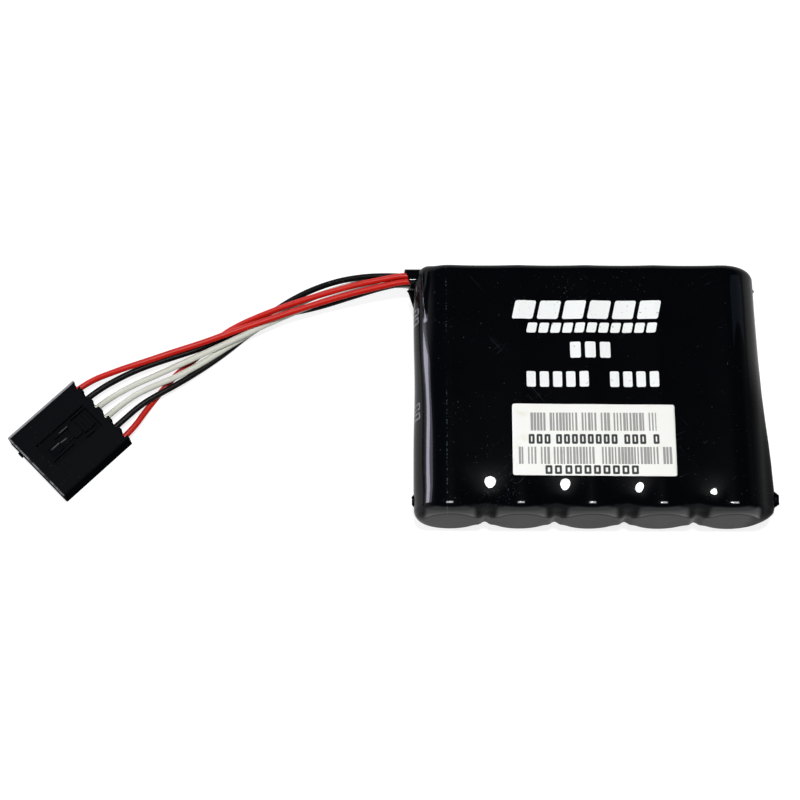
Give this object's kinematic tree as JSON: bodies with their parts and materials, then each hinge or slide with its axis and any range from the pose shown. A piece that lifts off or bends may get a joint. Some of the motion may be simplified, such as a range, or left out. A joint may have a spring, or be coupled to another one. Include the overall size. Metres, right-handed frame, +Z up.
{
  "type": "raid battery module",
  "caption": "Flat pack of side-by-side capacitor cells in one glossy shrink film, with loose wires from its rear corner to a flat latching crimp housing.",
  "frame": {"origin": "on the table, under the middle of the pack of cells", "axes": "+X across the cells, away from the wires' exit; +Y along the cells, from the closed front of the film to its open rear; +Z up"},
  "size_m": [0.1349, 0.0469, 0.0125],
  "materials": {
    "outer_film": "gloss",
    "label_white": "satin",
    "can_aluminium": "satin",
    "cell_sleeve_film": "satin",
    "bung_rubber": "matte",
    "tinned_steel": "satin",
    "grey_card": "matte",
    "circuit_board": "satin",
    "solder": "satin",
    "chip_body": "matte",
    "housing_black": "satin",
    "terminal_bronze": "satin",
    "strand_copper": "satin",
    "red_wire": "gloss",
    "black_wire": "gloss",
    "white_wire": "gloss"
  },
  "bodies": {
    "root": {"outer_sleeve": "outer_film", "barcode_label": "label_white", "capacitor_can_1": "can_aluminium", "can_sleeve_1": "cell_sleeve_film", "rubber_bung_1": "bung_rubber", "cell_leads_1": "tinned_steel", "capacitor_can_2": "can_aluminium", "can_sleeve_2": "cell_sleeve_film", "rubber_bung_2": "bung_rubber", "cell_leads_2": "tinned_steel", "capacitor_can_3": "can_aluminium", "can_sleeve_3": "cell_sleeve_film", "rubber_bung_3": "bung_rubber", "cell_leads_3": "tinned_steel", "capacitor_can_4": "can_aluminium", "can_sleeve_4": "cell_sleeve_film", "rubber_bung_4": "bung_rubber", "cell_leads_4": "tinned_steel", "capacitor_can_5": "can_aluminium", "can_sleeve_5": "cell_sleeve_film", "rubber_bung_5": "bung_rubber", "cell_leads_5": "tinned_steel", "lead_card": "grey_card", "balance_board": "circuit_board", "rear_card": "grey_card", "lead_solder": "solder", "wire_solder": "solder", "balance_resistors": "chip_body", "shunt_regulators": "chip_body", "memory_chip": "chip_body", "chip_pins": "tinned_steel", "connector_housing": "housing_black", "stripped_strands": "strand_copper", "wire_red_1": "red_wire", "wire_black_1": "black_wire", "wire_white_1": "white_wire", "wire_white_2": "white_wire", "wire_black_2": "black_wire", "wire_red_2": "red_wire", "crimp_terminal_1": "terminal_bronze", "crimp_terminal_2": "terminal_bronze", "crimp_terminal_3": "terminal_bronze", "crimp_terminal_4": "terminal_bronze", "crimp_terminal_5": "terminal_bronze", "crimp_terminal_6": "terminal_bronze"}
  },
  "joints": []
}
